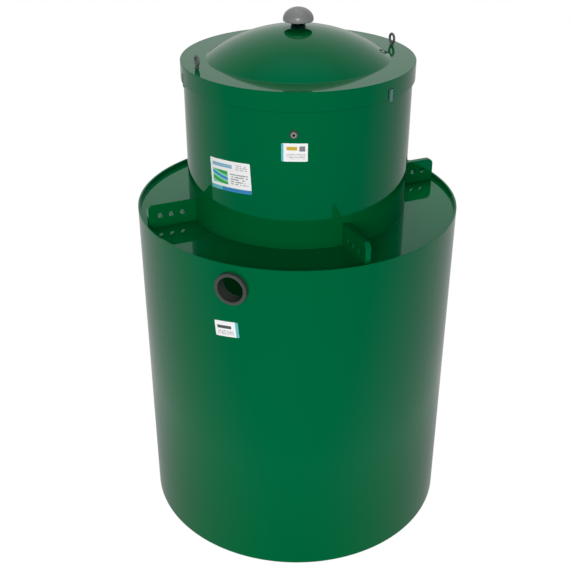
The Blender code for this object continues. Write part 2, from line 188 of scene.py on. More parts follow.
# Ring bolts and their nuts
EYE_ANGLES = (0.0, 180.0)
EYE_PLACE = 0.375
EYE_RING_RADIUS = 0.016
EYE_WIRE_RADIUS = 0.0045
EYE_RING_CENTRE = LID_TOP + 0.024
EYE_SHANK_RADIUS = 0.004
EYE_HOLE_RADIUS = 0.0046
EYE_RING_STEPS = 72
EYE_WIRE_STEPS = 24
EYE_SHANK_STEPS = 40
EYE_COLLAR_RADIUS = 0.0084
EYE_SEAT = LID_TOP + 0.0001
EYE_COLLAR_TOP = EYE_SEAT + 0.0027
EYE_NUT_RADIUS = 0.0085
EYE_NUT_HEIGHT = 0.0065
EYE_NUT_FACE = LID_UNDER - 0.0002
EYE_THREAD_END = LID_UNDER - EYE_NUT_HEIGHT - 0.0030
THREAD_DEPTH = 0.0005
THREAD_PITCH = 0.00125

# Nuts: widest and narrowest reach of the chamfered ends, and the chamfer's slope
NUT_REACH = 1.004
NUT_FLAT = 0.86
NUT_SLOPE = 0.6
NUT_STEPS = 48

# Labels: name, print, wall radius, angle, height of the middle, width, height, tilt
LABELS = (
    ("label_neck_large", "wide_label_print", NECK_RADIUS, 211.7, 1.519, 0.171, 0.1105, 3.3),
    ("label_neck_small", "small_label_print", NECK_RADIUS, 244.8, 1.633, 0.0875, 0.063, 0.0),
    ("label_tank_wall", "wall_label_print", TANK_RADIUS, 222.7, 1.0435, 0.090, 0.060, 5.4),
)
LABEL_FILM = 0.0006
LABEL_GAP = 0.0002
LABEL_CORNER = 0.003
LABEL_STEPS = 28
LABEL_PICK = 0.499
PRINT_MAP = "print"

# The printed colours
INK_BLUE = (0.030, 0.230, 0.520)
INK_PALE_BLUE = (0.260, 0.480, 0.640)
INK_TEAL = (0.120, 0.500, 0.560)
INK_CYAN = (0.240, 0.780, 0.780)
INK_GREEN = (0.010, 0.330, 0.030)
INK_LIGHT_GREEN = (0.180, 0.660, 0.220)
INK_GREY = (0.230, 0.220, 0.240)
INK_BROWN = (0.420, 0.330, 0.350)
INK_AMBER = (0.640, 0.420, 0.020)
INK_DARK = (0.060, 0.070, 0.080)

# Soft wavy bands of the wide label's picture field: place and colour
HILLS = ((0.0, INK_GREEN), (0.38, INK_LIGHT_GREEN), (0.62, INK_CYAN), (1.0, INK_BLUE))
HILLS_TURN = math.radians(18.0)

# Dashes: foot and top of each in its row, and how their breaks are strewn
DASH_FOOT = 0.30
DASH_TOP = 0.72
BREAK_SCALE = 1.7
BREAK_LEVEL = 0.43

# Fields of each print, laid one over another. Each has its colour, its left, right, bottom and
# top as shares of the label, and where it is broken into dashes, the rows and breaks of them.
PRINTS = {
    "wide_label_print": (
        (INK_BLUE, (0.0, 1.0, 0.0, 0.13)),
        (INK_TEAL, (0.0, 0.30, 0.0, 0.13)),
        (HILLS, (0.06, 0.46, 0.22, 0.66)),
        (INK_GREY, (0.53, 0.94, 0.26, 0.62), 13.0, 10.0),
        (INK_PALE_BLUE, (0.06, 0.58, 0.76, 0.88)),
        (INK_BROWN, (0.66, 0.94, 0.74, 0.90), 14.0, 12.0)),
    "small_label_print": (
        (INK_TEAL, (0.0, 0.09, 0.0, 1.0)),
        (INK_AMBER, (0.20, 0.60, 0.62, 0.82)),
        (INK_GREY, (0.68, 0.90, 0.56, 0.84)),
        (INK_BROWN, (0.20, 0.90, 0.14, 0.46), 11.0, 16.0)),
    "wall_label_print": (
        (INK_TEAL, (0.88, 1.0, 0.0, 1.0)),
        (INK_DARK, (0.10, 0.70, 0.52, 0.72)),
        (INK_GREY, (0.10, 0.78, 0.12, 0.40), 12.0, 18.0)),
}

# Materials by name. Each has its colour and roughness, or the settings that hold them, the
# amount and scale of the colour's drift, the patches and scuffs of its gloss, the scale and
# height of its grain and of its waves, and the constant values of its shader.
FLAT = (2.0, 0.0)
SCUFF_START, SCUFF_END = 0.62, 0.78
FINISHES = {
    "glossy_green_sheet": (
        "green", "green_gloss", 0.06, 2.0, 0.02, 0.03, (300.0, 0.000002), (3.0, 0.0006),
        {"Specular Tint": (0.0, 0.75, 0.5, 1.0)}),
    "satin_grey_cap": (
        "cap_grey", 0.26, 0.12, 60.0, 0.08, 0.1, (900.0, 0.00002), FLAT,
        {"Specular IOR Level": 1.0}),
    "dark_grey_pipe": (
        (0.080, 0.070, 0.062), 0.34, 0.3, 40.0, 0.1, 0.15, (700.0, 0.00003), FLAT, {}),
    "satin_black_plastic": (
        (0.006, 0.006, 0.006), 0.38, 0.3, 50.0, 0.1, 0.12, (900.0, 0.00003), FLAT,
        {"Specular IOR Level": 0.2}),
    "dark_seal_rubber": (
        "rubber", 0.5, 0.35, 45.0, 0.12, 0.1, (800.0, 0.00006), FLAT, {}),
    "dark_zinc_steel": (
        (0.115, 0.12, 0.115), 0.42, 0.35, 160.0, 0.15, 0.15, (1200.0, 0.00002), FLAT,
        {"Metallic": 0.4}),
    "bright_plated_metal": (
        (0.27, 0.29, 0.27), 0.34, 0.15, 120.0, 0.1, 0.1, (1200.0, 0.00001), FLAT,
        {"Metallic": 0.5}),
    "blue_grey_zinc": (
        (0.105, 0.22, 0.20), 0.40, 0.2, 80.0, 0.12, 0.15, (900.0, 0.00002), FLAT,
        {"Metallic": 0.3}),
    "label_film": (
        "film", 0.30, 0.05, 30.0, 0.1, 0.1, (900.0, 0.00001), (25.0, 0.0004), {}),
}

# Camera and lamps
CAMERA_PLACE = (-1.3546, -3.0609, 2.7761)
CAMERA_TURN = (math.radians(60.878), 0.0, math.radians(-23.085))
CAMERA_LENS = 60.44
CAMERA_SENSOR = 36.0
CAMERA_AZIMUTH = math.radians(-113.9)
LIGHT_DISTANCE = 10.0
LIGHT_AIM = Vector((0.0, 0.0, 1.0))
GLARE_TURN = math.radians(4.0)
GLARE_HEIGHT = math.radians(29.0)
GLARE_SIZE = 1.6
SHINING = ("vent_round_cap", "gland_metal_body", "lid_ring_bolt_1", "lid_ring_bolt_2",
           "lid_guide_key_1", "lid_guide_key_2", "lid_guide_key_3")
INSIDE_HEIGHT = 0.9
INSIDE_SOFTNESS = 0.15
RED_LOSS = 0.006

# How the floor and the surroundings brighten: distances from the axis, and shares
SECOND_MIRROR = 0.60
FLOOR_SIZE = 60.0
FLOOR_FOOT = 0.6
BOUNCE_END = 3.5
BOUNCE_FAR = 0.10
BOUNCE_BACK = 0.18
BOUNCE_FRONT = 0.50
FRONT_BEND = 0.8
BACK_START, BACK_END = 1.8, 4.0
BACK_GAIN = 1.35
SHADE_END = 1.15
SHADE_FOOT = 0.5
CEILING_START, CEILING_END = 0.855, 0.985
WHITE = (1.0, 1.0, 1.0, 1.0)


class TankDetail(bpy.types.PropertyGroup):
    """Sizes of the fine shapes."""
    big_steps: IntProperty(
        name="Wall steps", description="Faces around each large round wall",
        default=288, min=48, max=512)
    small_steps: IntProperty(
        name="Fitting steps", description="Faces around each small round fitting",
        default=72, min=16, max=256)
    edge_round: FloatProperty(
        name="Edge rounding", description="Radius of the rounded sheet edges",
        default=0.0015, min=0.0002, max=0.004, unit="LENGTH")
    lid_round: FloatProperty(
        name="Lid edge rounding", description="Radius of the lid's rounded outer edge",
        default=0.003, min=0.001, max=0.0055, unit="LENGTH")
    dome_fillet: FloatProperty(
        name="Dome foot fillet", description="Radius of the hollow where dome and lid meet",
        default=0.004, min=0.001, max=0.012, unit="LENGTH")


class TankFinish(bpy.types.PropertyGroup):
    """Colours and gloss of the plastics and metals."""
    green: FloatVectorProperty(
        name="Green sheet", description="Colour of the tank's plastic sheet",
        subtype="COLOR", size=3, default=(0.0003, 0.106, 0.0240), min=0.0, max=1.0)
    green_gloss: FloatProperty(
        name="Green roughness", description="Roughness of the plastic sheet",
        default=0.055, min=0.0, max=1.0, subtype="FACTOR")
    cap_grey: FloatVectorProperty(
        name="Vent cap", description="Colour of the vent's cap",
        subtype="COLOR", size=3, default=(0.185, 0.185, 0.187), min=0.0, max=1.0)
    rubber: FloatVectorProperty(
        name="Rubber", description="Colour of the pipe seals",
        subtype="COLOR", size=3, default=(0.045, 0.045, 0.040), min=0.0, max=1.0)
    film: FloatVectorProperty(
        name="Label film", description="Ground colour of the labels",
        subtype="COLOR", size=3, default=(0.965, 0.975, 0.975), min=0.0, max=1.0)


class StageLight(bpy.types.PropertyGroup):
    """The floor and the lights."""
    key_power: FloatProperty(
        name="Key light", description="Power of the large soft light", unit="POWER",
        default=785.0, min=0.0)
    key_size: FloatProperty(
        name="Light size", description="Side of each large soft light", unit="LENGTH",
        default=7.0, min=0.1)
    key_turn: FloatProperty(
        name="Key turn", description="Angle from the camera to the soft light, to the left",
        subtype="ANGLE", default=math.radians(6.0))
    key_height: FloatProperty(
        name="Key height", description="Angle of the soft light above the horizon",
        subtype="ANGLE", default=math.radians(19.0))
    back_power: FloatProperty(
        name="Back light", description="Power of the soft light behind the tank", unit="POWER",
        default=640.0, min=0.0)
    back_height: FloatProperty(
        name="Back height", description="Angle of the back light above the horizon",
        subtype="ANGLE", default=math.radians(54.0))
    inside_power: FloatProperty(
        name="Inside light", description="Power of the weak light inside the tank", unit="POWER",
        default=2.4, min=0.0)
    surroundings: FloatProperty(
        name="Surroundings", description="Brightness of the walls that glossy surfaces mirror",
        default=0.74, min=0.0, max=4.0)
    ceiling: FloatProperty(
        name="Ceiling", description="Brightness straight above that glossy surfaces mirror",
        default=1.20, min=0.0, max=4.0)
    glare: FloatProperty(
        name="Glare", description="Power of the lamp that shines in the cap and the fittings",
        unit="POWER", default=170.0, min=0.0)
    fill: FloatProperty(
        name="Fill", description="Brightness of the surroundings for matt surfaces",
        default=0.08, min=0.0, max=4.0)
    mirror_front: FloatProperty(
        name="Front floor in mirrors", description="Brightness of the floor before the tank",
        default=1.0, min=0.0, max=4.0)
    mirror_back: FloatProperty(
        name="Back floor in mirrors", description="Brightness of the floor behind the tank",
        default=0.39, min=0.0, max=4.0)
    floor_bounce: FloatProperty(
        name="Floor bounce", description="Light that the floor beside the tank sends back",
        default=0.50, min=0.0, max=4.0)


def outward(angle, radius, height):
    """A point at a distance from the axis, in the direction of an angle in degrees."""
    turn = math.radians(angle)
    return Vector((radius * math.cos(turn), radius * math.sin(turn), height))


def radial_matrix(angle, height):
    """Lays local Z along a radius of the tank, so that local Z is the distance from its axis."""
    turn = Matrix.Rotation(math.radians(angle), 4, "Z")
    return Matrix.Translation((0.0, 0.0, height)) @ turn @ Matrix.Rotation(QUARTER, 4, "Y")


def outline(*corners):
    """Points of (radius, height) corners, in the plane that is spun."""
    return [Vector((radius, 0.0, height)) for radius, height in corners]


def arc(radius, rise, centre, start, end, steps):
    """Points of a round or flattened arc, from one angle off the axis to another."""
    turns = [start + (end - start) * step / steps for step in range(steps + 1)]
    return outline(*((radius * math.sin(turn), centre + rise * math.cos(turn))
                     for turn in turns))


def rounded(corners, arc_steps=4):
    """Turn (radius, height, rounding) corners into points, with an arc where rounding isn't 0."""
    points = []
    for index, (radius, height, rounding) in enumerate(corners):
        corner = Vector((radius, 0.0, height))
        if rounding == 0.0:
            points.append(corner)
            continue
        before = corners[index - 1]
        after = corners[(index + 1) % len(corners)]
        back = (Vector((before[0], 0.0, before[1])) - corner).normalized()
        on = (Vector((after[0], 0.0, after[1])) - corner).normalized()
        half = back.angle(on) / 2.0
        centre = corner + (back + on).normalized() * rounding / math.sin(half)
        reach = rounding / math.tan(half)
        start = corner + back * reach - centre
        end = corner + on * reach - centre
        for step in range(arc_steps + 1):
            points.append(centre + rounding * start.slerp(end, step / arc_steps))
    return points


def moved(bm, matrix):
    bmesh.ops.transform(bm, matrix=matrix, verts=bm.verts)
    return bm


def turned(bm, angle):
    """The same bmesh, turned about the tank's axis by an angle in degrees."""
    bmesh.ops.rotate(bm, cent=(0.0, 0.0, 0.0), verts=bm.verts,
                     matrix=Matrix.Rotation(math.radians(angle), 3, "Z"))
    return bm


def spin_round(bm, geom, steps):
    """Spin geometry once about Z, and close its seam and poles."""
    bmesh.ops.spin(bm, geom=geom, cent=(0.0, 0.0, 0.0), axis=(0.0, 0.0, 1.0),
                   dvec=(0.0, 0.0, 0.0), angle=2.0 * math.pi, steps=steps, use_merge=True,
                   use_normal_flip=False, use_duplicate=False)
    bmesh.ops.remove_doubles(bm, verts=bm.verts, dist=SPIN_MERGE)
    bmesh.ops.recalc_face_normals(bm, faces=bm.faces)


def spun(points, steps, closed=True, matrix=None):
    """A bmesh of an outline that is spun once about Z."""
    bm = bmesh.new()
    verts = [bm.verts.new(point) for point in points]
    pairs = list(zip(verts, verts[1:]))
    if closed:
        pairs.append((verts[-1], verts[0]))
    edges = [bm.edges.new(pair) for pair in pairs]
    spin_round(bm, verts + edges, steps)
    return bm if matrix is None else moved(bm, matrix)


def box_shape(size, centre):
    bm = bmesh.new()
    bmesh.ops.create_cube(bm, size=1.0)
    bmesh.ops.scale(bm, vec=Vector(size), verts=bm.verts)
    bmesh.ops.translate(bm, vec=Vector(centre), verts=bm.verts)
    return bm


def bar_shape(radius, start, end, steps):
    """A straight round bar between two points."""
    start, end = Vector(start), Vector(end)
    way = end - start
    turn = way.to_track_quat("Z", "Y").to_matrix().to_4x4()
    bm = bmesh.new()
    bmesh.ops.create_cone(bm, cap_ends=True, segments=steps, radius1=radius, radius2=radius,
                          depth=way.length, matrix=Matrix.Translation((start + end) / 2) @ turn)
    return bm


def upright_bar(radius, bottom, top, steps):
    return bar_shape(radius, (0.0, 0.0, bottom), (0.0, 0.0, top), steps)


def radial_bar(radius, place, start, end, steps):
    """A round bar along a radius of the tank, at a place of angle and height."""
    angle, height = place
    return bar_shape(radius, outward(angle, start, height), outward(angle, end, height), steps)


def mesh_of(bm, name):
    """A mesh that takes the place of a bmesh."""
    mesh = bpy.data.meshes.new(name)
    bm.to_mesh(mesh)
    bm.free()
    return mesh


def linked(name, data):
    """An object that stands in the scene."""
    obj = bpy.data.objects.new(name, data)
    bpy.context.scene.collection.objects.link(obj)
    return obj


def combined(bm, others, operation="DIFFERENCE"):
    """The bmesh that is left when other shapes are cut from it, joined to it or crossed with it."""
    body = linked("cut_body", mesh_of(bm, "cut_body"))
    tools = [linked("cut_tool", mesh_of(other, "cut_tool")) for other in others]
    for tool in tools:
        modifier = body.modifiers.new("Cut", "BOOLEAN")
        modifier.operation = operation
        modifier.solver = "EXACT"
        modifier.object = tool
    graph = bpy.context.evaluated_depsgraph_get()
    mesh = bpy.data.meshes.new_from_object(body.evaluated_get(graph))
    result = bmesh.new()
    result.from_mesh(mesh)
    bmesh.ops.remove_doubles(result, verts=result.verts, dist=CUT_MERGE)
    bmesh.ops.dissolve_degenerate(result, dist=CUT_MERGE, edges=result.edges)
    bpy.data.meshes.remove(mesh)
    for obj in [body] + tools:
        data = obj.data
        bpy.data.objects.remove(obj, do_unlink=True)
        bpy.data.meshes.remove(data)
    return result


def merged(bm, others):
    """One bmesh that also holds the shapes of others."""
    for other in others:
        mesh = mesh_of(other, "part_shape")
        bm.from_mesh(mesh)
        bpy.data.meshes.remove(mesh)
    return bm


def bevel(bm, geom, width, segments, affect="EDGES", clamp=False):
    bmesh.ops.bevel(bm, geom=geom, offset=width, offset_type="OFFSET", segments=segments,
                    profile=0.5, affect=affect, material=-1, clamp_overlap=clamp)


def bevel_sharp(bm, width, segments=2):
    """Round every sharp edge."""
    sharp = [edge for edge in bm.edges
             if edge.is_manifold and edge.calc_face_angle(0.0) > SHARP_ANGLE]
    bevel(bm, sharp, width, segments, clamp=True)


def eye_ring():
    """The round wire ring of a ring bolt, standing above its place."""
    bm = bmesh.new()
    lay = Matrix.Translation((EYE_RING_RADIUS, 0.0, 0.0)) @ Matrix.Rotation(QUARTER, 4, "X")
    bmesh.ops.create_circle(bm, cap_ends=False, segments=EYE_WIRE_STEPS,
                            radius=EYE_WIRE_RADIUS, matrix=lay)
    spin_round(bm, bm.verts[:] + bm.edges[:], EYE_RING_STEPS)
    return moved(bm, Matrix.Translation((0.0, 0.0, EYE_RING_CENTRE))
                 @ Matrix.Rotation(QUARTER, 4, "Y"))


def weld_shape(length, matrix):
    """A hollow fillet that flares from the foot of a lug onto a surface."""
    bm = bmesh.new()
    bmesh.ops.create_grid(bm, x_segments=1, y_segments=1, size=0.5)
    for vert in bm.verts:
        vert.co = Vector((vert.co.x * length, vert.co.y * LUG_THICKNESS, WELD_RADIUS))
    ring = bm.edges[:]
    for step in range(1, WELD_STEPS + 1):
        turn = QUARTER * step / WELD_STEPS
        flare = WELD_RADIUS * (1.0 - math.cos(turn))
        height = WELD_RADIUS * (1.0 - math.sin(turn))
        grown = bmesh.ops.extrude_edge_only(bm, edges=ring)["geom"]
        verts = [item for item in grown if isinstance(item, bmesh.types.BMVert)]
        for vert in verts:
            vert.co = Vector((math.copysign(length / 2 + flare, vert.co.x),
                              math.copysign(LUG_THICKNESS / 2 + flare, vert.co.y), height))
        ring = [item for item in grown if isinstance(item, bmesh.types.BMEdge)
                and all(vert in verts for vert in item.verts)]
    bmesh.ops.contextual_create(bm, geom=ring)
    bmesh.ops.recalc_face_normals(bm, faces=bm.faces)
    return moved(bm, matrix)


def lug_hole_tool(place):
    """The shape that cuts a lug's hole, which flares at both faces for the rounded rims."""
    face = LUG_THICKNESS / 2
    flare = LUG_HOLE_CHAMFER
    rise = 0.4 * flare
    half = ((LUG_HOLE_RADIUS, face - flare), (LUG_HOLE_RADIUS + 0.35 * flare, face - rise),
            (LUG_HOLE_RADIUS + 1.65 * flare, face + rise), (0.0, face + rise))
    other = [(radius, -height) for radius, height in reversed(half)]
    lay = Matrix.Translation((place, 0.0, LUG_HOLE_HEIGHT)) @ Matrix.Rotation(QUARTER, 4, "X")
    return spun(outline(*other, *half), LUG_HOLE_STEPS, closed=False, matrix=lay)


def lug_shape(angle):
    """A lifting lug: an upright plate with one rounded corner and three chamfered holes."""
    long = LUG_REACH - LUG_INNER
    middle = (LUG_REACH + LUG_INNER) / 2
    bm = box_shape((long, LUG_THICKNESS, LUG_TOP - LUG_FOOT),
                   (middle, 0.0, (LUG_TOP + LUG_FOOT) / 2))
    corner = [edge for edge in bm.edges
              if all(vert.co.x > LUG_REACH - PICK and vert.co.z > LUG_TOP - PICK
                     for vert in edge.verts)]
    bevel(bm, corner, LUG_CORNER, 10)
    bevel_sharp(bm, LUG_EDGE)
    bm = combined(bm, [lug_hole_tool(place) for place in LUG_HOLES])
    tall = LUG_TOP - DECK_TOP
    deck_weld = weld_shape(long, Matrix.Translation((middle, 0.0, LUG_DECK_WELD)))
    neck_weld = weld_shape(tall, Matrix.Translation((LUG_NECK_WELD, 0.0, DECK_TOP + tall / 2))
                           @ Matrix.Rotation(QUARTER, 4, "Y"))
    return turned(merged(bm, [deck_weld, neck_weld]), angle)


def label_shape(radius, angle, height, width, tall, tilt):
    """A thin film with rounded corners, bent around a round wall and turned a little."""
    bm = bmesh.new()
    bmesh.ops.create_grid(bm, x_segments=LABEL_STEPS, y_segments=1, size=0.5)
    bmesh.ops.scale(bm, vec=(width, tall, 1.0), verts=bm.verts)
    corners = [vert for vert in bm.verts
               if abs(vert.co.x) > width * LABEL_PICK and abs(vert.co.y) > tall * LABEL_PICK]
    bevel(bm, corners, LABEL_CORNER, 5, "VERTICES")
    bmesh.ops.solidify(bm, geom=bm.faces[:], thickness=LABEL_FILM)
    lowest = min(vert.co.z for vert in bm.verts)
    print_place = bm.loops.layers.uv.new(PRINT_MAP)
    lean = math.radians(tilt)
    for face in bm.faces:
        for loop in face.loops:
            loop[print_place].uv = (loop.vert.co.x / width + 0.5, loop.vert.co.y / tall + 0.5)
    for vert in bm.verts:
        across, up, depth = vert.co
        around = across * math.cos(lean) - up * math.sin(lean)
        rise = across * math.sin(lean) + up * math.cos(lean)
        face_radius = radius + LABEL_GAP + depth - lowest
        vert.co = outward(angle + math.degrees(around / radius), face_radius, height + rise)
    bmesh.ops.recalc_face_normals(bm, faces=bm.faces)
    if bm.calc_volume(signed=True) < 0.0:
        bmesh.ops.reverse_faces(bm, faces=bm.faces)
    return bm


def nut_shape(radius, bore, bottom, top, matrix):
    """A six-sided nut on local Z, chamfered at both ends, with a round bore."""
    reach = radius * NUT_REACH
    flat = radius * NUT_FLAT
    drop = (reach - flat) * NUT_SLOPE
    ends = spun(outline((0.0, top), (flat, top), (reach, top - drop), (reach, bottom + drop),
                        (flat, bottom), (0.0, bottom)), NUT_STEPS, closed=False)
    bm = combined(upright_bar(radius, bottom, top, HEXAGON), [ends], "INTERSECT")
    hole = upright_bar(bore, bottom - SHORT_PAST, top + SHORT_PAST, BORE_STEPS)
    return moved(combined(bm, [hole]), matrix)


def bolt_shape():
    """A ring bolt on local Z: a threaded shank with a collar, under its ring."""
    root = EYE_RING_CENTRE - EYE_RING_RADIUS
    corners = [(0.0, root, 0.0), (EYE_SHANK_RADIUS, root, 0.0),
               (EYE_SHANK_RADIUS, EYE_COLLAR_TOP, 0.0009),
               (EYE_COLLAR_RADIUS, EYE_COLLAR_TOP, 0.0006), (EYE_COLLAR_RADIUS, EYE_SEAT, 0.0004),
               (EYE_SHANK_RADIUS, EYE_SEAT, 0.0)]
    valley = EYE_SHANK_RADIUS - THREAD_DEPTH
    height = EYE_NUT_FACE
    while height - THREAD_PITCH > EYE_THREAD_END:
        corners += [(EYE_SHANK_RADIUS, height, 0.0), (valley, height - THREAD_PITCH / 2, 0.0)]
        height -= THREAD_PITCH
    corners += [(EYE_SHANK_RADIUS, height, 0.0), (valley, EYE_THREAD_END, 0.0),
                (0.0, EYE_THREAD_END, 0.0)]
    shank = spun(rounded(corners, 3), EYE_SHANK_STEPS, closed=False)
    return combined(shank, [eye_ring()], "UNION")


def place_piece(name, bm, finish, body, slot, *replaced):
    """Make a finished object of a bmesh, and let it ride on a body in place of CAD nodes."""
    mesh = mesh_of(bm, name)
    mesh.shade_smooth()
    mesh.set_sharp_from_angle(angle=SHADE_ANGLE)
    mesh.materials.append(material_of(finish))
    piece = linked(name, mesh)
    weighted = piece.modifiers.new("Even shading", "WEIGHTED_NORMAL")
    weighted.mode = "FACE_AREA"
    weighted.weight = 50
    weighted.keep_sharp = True
    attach(piece, body)
    if replaced:
        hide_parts(*replaced)


def place_green(name, bm, body, *replaced):
    """Make a finished object of the tank's green sheet."""
    place_piece(name, bm, "glossy_green_sheet", body, "green_plastic", *replaced)


def add_node(tree, kind, inputs=None, **settings):
    """Add a shader node with its settings, and set or link its inputs."""
    node = tree.nodes.new("ShaderNode" + kind)
    for name, value in settings.items():
        setattr(node, name, value)
    for name, value in (inputs or {}).items():
        if isinstance(value, bpy.types.NodeSocket):
            tree.links.new(value, node.inputs[name])
        else:
            node.inputs[name].default_value = value
    return node


def maths(tree, operation, *values):
    """The result of a Math node for up to three numbers or sockets."""
    return add_node(tree, "Math", dict(enumerate(values)), operation=operation).outputs[0]


def spread(tree, value, low, high, start=0.0, end=1.0):
    """Runs from start to end while a value runs from low to high."""
    return add_node(tree, "MapRange", {
        "Value": value, "From Min": low, "From Max": high, "To Min": start,
        "To Max": end}).outputs["Result"]


def noise(tree, place, scale, detail, roughness=0.5):
    return add_node(tree, "TexNoise", {
        "Vector": place, "Scale": scale, "Detail": detail, "Roughness": roughness}).outputs["Fac"]


def surface_unevenness(tree, given):
    """Height of a plastic surface: slow waves of the sheet and a fine grain."""
    wave = noise(tree, given["Vector"], given["Wave Scale"], 1.0, 0.4)
    grain = noise(tree, given["Vector"], given["Grain Scale"], 2.0)
    tall = maths(tree, "MULTIPLY", wave, given["Wave Height"])
    return maths(tree, "MULTIPLY_ADD", grain, given["Grain Height"], tall)


def colour_drift(tree, given):
    """A colour that varies slowly between a darker and a lighter shade of itself."""
    cloud = noise(tree, given["Vector"], given["Scale"], 4.0, 0.6)
    centred = maths(tree, "SUBTRACT", cloud, 0.5)
    shade = maths(tree, "MULTIPLY_ADD", centred, given["Amount"], 1.0)
    return add_node(tree, "VectorMath", {0: given["Color"], "Scale": shade},
                    operation="SCALE").outputs["Vector"]


def gloss_drift(tree, given):
    """A roughness that varies in soft patches and in a few fine scuffs."""
    patch = noise(tree, given["Vector"], 4.0, 3.0, 0.55)
    stretched = add_node(tree, "Mapping", {
        "Vector": given["Vector"], "Scale": (60.0, 60.0, 4.0)}).outputs["Vector"]
    few = spread(tree, noise(tree, stretched, 1.0, 5.0, 0.7), SCUFF_START, SCUFF_END)
    first = maths(tree, "MULTIPLY_ADD", patch, given["Patches"], given["Roughness"])
    return maths(tree, "MULTIPLY_ADD", few, given["Scuffs"], first)


def print_box(tree, given):
    """A mask that is 1 inside a box of the label's print map."""
    parts = add_node(tree, "SeparateXYZ", {"Vector": given["Vector"]}).outputs
    masks = []
    for axis, low, high in (("X", "Left", "Right"), ("Y", "Bottom", "Top")):
        above = maths(tree, "GREATER_THAN", parts[axis], given[low])
        below = maths(tree, "LESS_THAN", parts[axis], given[high])
        masks.append(maths(tree, "MULTIPLY", above, below))
    return maths(tree, "MULTIPLY", *masks)


def print_dashes(tree, given):
    """A mask of rows of short plain dashes, broken at uneven places."""
    parts = add_node(tree, "SeparateXYZ", {"Vector": given["Vector"]}).outputs
    rows = maths(tree, "MULTIPLY", parts["Y"], given["Rows"])
    across = maths(tree, "MULTIPLY", parts["X"], given["Breaks"])
    within = maths(tree, "FRACT", rows)
    row = maths(tree, "FLOOR", rows)
    high = maths(tree, "GREATER_THAN", within, DASH_FOOT)
    low = maths(tree, "LESS_THAN", within, DASH_TOP)
    place = add_node(tree, "CombineXYZ", {"X": across, "Y": row}).outputs["Vector"]
    inked = maths(tree, "GREATER_THAN", noise(tree, place, BREAK_SCALE, 0.0), BREAK_LEVEL)
    return maths(tree, "MULTIPLY", maths(tree, "MULTIPLY", high, low), inked)


# What each shared node group takes besides a Vector, and what it puts out
GROUP_SOCKETS = {
    surface_unevenness: ({"Wave Scale": 2.0, "Wave Height": 0.001, "Grain Scale": 400.0,
                          "Grain Height": 0.00002}, "Height"),
    colour_drift: ({"Color": None, "Scale": 3.0, "Amount": 0.1}, "Color"),
    gloss_drift: ({"Roughness": 0.1, "Patches": 0.05, "Scuffs": 0.1}, "Roughness"),
    print_box: ({"Left": 0.0, "Right": 1.0, "Bottom": 0.0, "Top": 1.0}, "Mask"),
    print_dashes: ({"Rows": 12.0, "Breaks": 22.0}, "Mask"),
}


def new_group(build):
    """A shader node group with its sockets, filled by a function of its own name."""
    inputs, output = GROUP_SOCKETS[build]
    group = bpy.data.node_groups.new(build.__name__, "ShaderNodeTree")
    sockets = group.interface
    sockets.new_socket("Vector", in_out="INPUT", socket_type="NodeSocketVector")
    for name, value in inputs.items():
        kind = "NodeSocketColor" if name == "Color" else "NodeSocketFloat"
        socket = sockets.new_socket(name, in_out="INPUT", socket_type=kind)
        if value is not None:
            socket.default_value = value
    kind = "NodeSocketColor" if output == "Color" else "NodeSocketFloat"
    sockets.new_socket(output, in_out="OUTPUT", socket_type=kind)
    given = group.nodes.new("NodeGroupInput")
    out = group.nodes.new("NodeGroupOutput")
    group.links.new(build(group, given.outputs), out.inputs[output])
    return group


def shared(tree, build, inputs):
    """Place a shared node group, which is built at its first use, and give its output."""
    group = bpy.data.node_groups.get(build.__name__) or new_group(build)
    return add_node(tree, "Group", inputs, node_tree=group).outputs[0]


def chosen(value):
    """A value itself, or the setting that it names."""
    return getattr(bpy.context.scene.tank_finish, value) if isinstance(value, str) else value


def finish_material(name, finish=None):
    """A Principled material whose colour, gloss and surface vary with the object's shape."""
    (colour, roughness, drift, drift_scale, patches, scuffs, grain, wave,
     constants) = FINISHES[finish or name]
    material = bpy.data.materials.new(name)
    material.use_nodes = True
    tree = material.node_tree
    shader = tree.nodes["Principled BSDF"]
    place = add_node(tree, "TexCoord").outputs["Object"]
    color = (*chosen(colour), 1.0)
    shade = shared(tree, colour_drift, {
        "Vector": place, "Color": color, "Scale": drift_scale, "Amount": drift})
    gloss = shared(tree, gloss_drift, {
        "Vector": place, "Roughness": chosen(roughness), "Patches": patches, "Scuffs": scuffs})
    height = shared(tree, surface_unevenness, {
        "Vector": place, "Wave Scale": wave[0], "Wave Height": wave[1],
        "Grain Scale": grain[0], "Grain Height": grain[1]})
    bump = add_node(tree, "Bump", {"Height": height, "Strength": 1.0, "Distance": 1.0})
    tree.links.new(shade, shader.inputs["Base Color"])
    tree.links.new(gloss, shader.inputs["Roughness"])
    tree.links.new(bump.outputs["Normal"], shader.inputs["Normal"])
    for socket, value in constants.items():
        shader.inputs[socket].default_value = value
    material.diffuse_color = color
    return material


def hill_bands(tree, place):
    """Soft wavy bands of colour."""
    placed = add_node(tree, "Mapping", {"Vector": place, "Rotation": (0.0, 0.0, HILLS_TURN)})
    wave = add_node(tree, "TexWave", {
        "Vector": placed.outputs["Vector"], "Scale": 0.9, "Distortion": 3.0,
        "Detail": 1.0, "Detail Scale": 1.2}, wave_type="BANDS", bands_direction="Y")
    bands = add_node(tree, "ValToRGB", {"Fac": wave.outputs["Fac"]})
    bands.color_ramp.interpolation = "EASE"
    elements = bands.color_ramp.elements
    while len(elements) < len(HILLS):
        elements.new(0.5)
    for element, (position, color) in zip(elements, HILLS):
        element.position = position
        element.color = (*color, 1.0)
    return bands.outputs["Color"]


